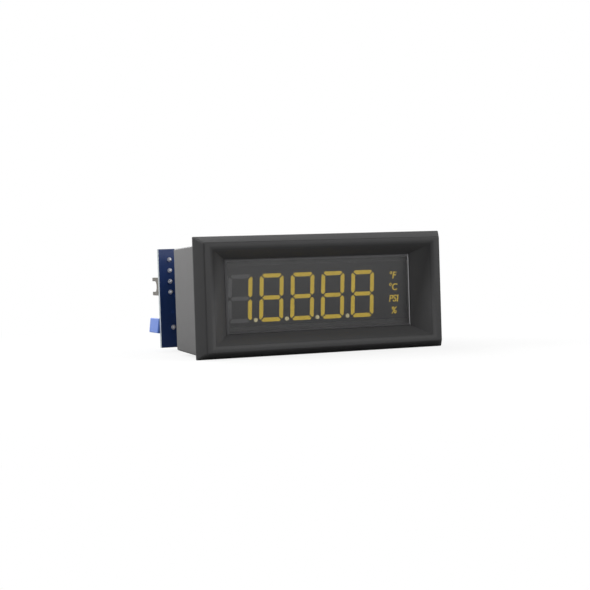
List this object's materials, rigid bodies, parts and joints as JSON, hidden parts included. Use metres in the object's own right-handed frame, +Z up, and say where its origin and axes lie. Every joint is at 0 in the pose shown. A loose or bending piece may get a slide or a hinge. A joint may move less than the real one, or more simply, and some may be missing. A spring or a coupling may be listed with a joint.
{
  "type": "digital panel meter",
  "caption": "Flush panel meter: black moulded bezel and case, smoked window over a backlit segment display, stacked circuit boards, screw terminals, trimmer and link.",
  "frame": {"origin": "centre of the bezel on the plane where its back meets the panel's front face", "axes": "+Z up, +X to the right seen from the front, +Y back through the panel along the case"},
  "size_m": [0.08, 0.0652, 0.036],
  "materials": {
    "black_plastic": "fine satin moulding",
    "case_plastic": "fine satin moulding",
    "tinted_window": "polished, smoke tinted",
    "polarizer_film": "polarizing film",
    "display_glass": "polished",
    "lit_yellow": "backlit segment",
    "lit_point": "backlit point",
    "unlit_grey": "unlit segment",
    "strip_rubber": "striped silicone",
    "backlight_acrylic": "diffusing acrylic",
    "led_resin": "clear resin",
    "holder_plastic": "satin moulding",
    "green_laminate": "solder mask",
    "blue_laminate": "solder mask",
    "screw_steel": "zinc plated",
    "clamp_steel": "zinc plated",
    "white_nylon": "natural nylon",
    "header_plastic": "moulded",
    "gold_pin": "gold flash",
    "chip_epoxy": "moulded epoxy",
    "resistor_ceramic": "fired",
    "crystal_can": "pressed can",
    "capacitor_sleeve": "sleeve",
    "standoff_brass": "turned",
    "solder": "reflowed solder",
    "link_plastic": "moulded",
    "trimmer_blue": "moulded",
    "adjust_brass": "turned",
    "terminal_green": "moulded",
    "contact_brass": "tinned",
    "cage_brass": "stamped"
  },
  "bodies": {
    "meter": {"bezel": "black_plastic", "window": "tinted_window", "front_polarizer": "polarizer_film", "front_glass": "display_glass", "lit_segments": "lit_yellow", "unlit_segments": "unlit_grey", "decimal_points": "lit_point", "rear_glass": "display_glass", "rear_polarizer": "polarizer_film", "contact_strips": "strip_rubber", "backlight": "backlight_acrylic", "backlight_leds": "led_resin", "display_holder": "holder_plastic", "display_board": "green_laminate", "holder_screws": "screw_steel", "board_spacers": "white_nylon", "display_header": "header_plastic", "display_header_pins": "gold_pin", "main_board": "green_laminate", "controller_chip": "chip_epoxy", "converter_chip": "chip_epoxy", "voltage_regulator": "chip_epoxy", "crystal": "crystal_can", "capacitors": "capacitor_sleeve", "chip_resistors": "resistor_ceramic", "stack_socket": "header_plastic", "stack_header": "header_plastic", "stack_pins": "gold_pin", "standoffs": "standoff_brass", "standoff_screws": "screw_steel", "case": "case_plastic", "rear_board": "blue_laminate", "solder_joints": "solder", "link_header": "header_plastic", "link_pins": "gold_pin", "trimmer_body": "trimmer_blue", "trimmer_pins": "solder", "terminal_block": "terminal_green", "terminal_contacts": "contact_brass"},
    "trimmer_screw": {"trimmer_screw": "adjust_brass"},
    "jumper_link": {"jumper_link": "link_plastic", "link_contact": "gold_pin"},
    "clamp_screw_1": {"terminal_screw_1": "clamp_steel"},
    "clamp_cage_1": {"terminal_cage_1": "cage_brass"},
    "clamp_screw_2": {"terminal_screw_2": "clamp_steel"},
    "clamp_cage_2": {"terminal_cage_2": "cage_brass"},
    "clamp_screw_3": {"terminal_screw_3": "clamp_steel"},
    "clamp_cage_3": {"terminal_cage_3": "cage_brass"},
    "clamp_screw_4": {"terminal_screw_4": "clamp_steel"},
    "clamp_cage_4": {"terminal_cage_4": "cage_brass"}
  },
  "joints": [
    {"name": "trimmer_turn", "type": "hinge", "parent": "meter", "child": "trimmer_screw", "pos_m": [-0.03044, 0.054, -0.01052], "axis": [0, -1, 0], "continuous": true},
    {"name": "link_pull", "type": "slide", "parent": "meter", "child": "jumper_link", "axis": [0, 1, 0], "range_m": [0, 0.01]},
    {"name": "clamp_screw_1_turn", "type": "hinge", "parent": "meter", "child": "clamp_screw_1", "pos_m": [-0.00762, 0.05625, -0.0126], "axis": [0, -1, 0], "range_deg": [0, 1296]},
    {"name": "clamp_cage_1_rise", "type": "slide", "parent": "meter", "child": "clamp_cage_1", "axis": [0, 1, 0], "range_m": [0, 0.0018]},
    {"name": "clamp_screw_2_turn", "type": "hinge", "parent": "meter", "child": "clamp_screw_2", "pos_m": [-0.00254, 0.05625, -0.0126], "axis": [0, -1, 0], "range_deg": [0, 1296]},
    {"name": "clamp_cage_2_rise", "type": "slide", "parent": "meter", "child": "clamp_cage_2", "axis": [0, 1, 0], "range_m": [0, 0.0018]},
    {"name": "clamp_screw_3_turn", "type": "hinge", "parent": "meter", "child": "clamp_screw_3", "pos_m": [0.00254, 0.05625, -0.0126], "axis": [0, -1, 0], "range_deg": [0, 1296]},
    {"name": "clamp_cage_3_rise", "type": "slide", "parent": "meter", "child": "clamp_cage_3", "axis": [0, 1, 0], "range_m": [0, 0.0018]},
    {"name": "clamp_screw_4_turn", "type": "hinge", "parent": "meter", "child": "clamp_screw_4", "pos_m": [0.00762, 0.05625, -0.0126], "axis": [0, -1, 0], "range_deg": [0, 1296]},
    {"name": "clamp_cage_4_rise", "type": "slide", "parent": "meter", "child": "clamp_cage_4", "axis": [0, 1, 0], "range_m": [0, 0.0018]}
  ],
  "couplings": [
    {"joint": "clamp_screw_1_turn", "follows": "clamp_cage_1_rise", "rad_per_m": 12566},
    {"joint": "clamp_screw_2_turn", "follows": "clamp_cage_2_rise", "rad_per_m": 12566},
    {"joint": "clamp_screw_3_turn", "follows": "clamp_cage_3_rise", "rad_per_m": 12566},
    {"joint": "clamp_screw_4_turn", "follows": "clamp_cage_4_rise", "rad_per_m": 12566}
  ]
}
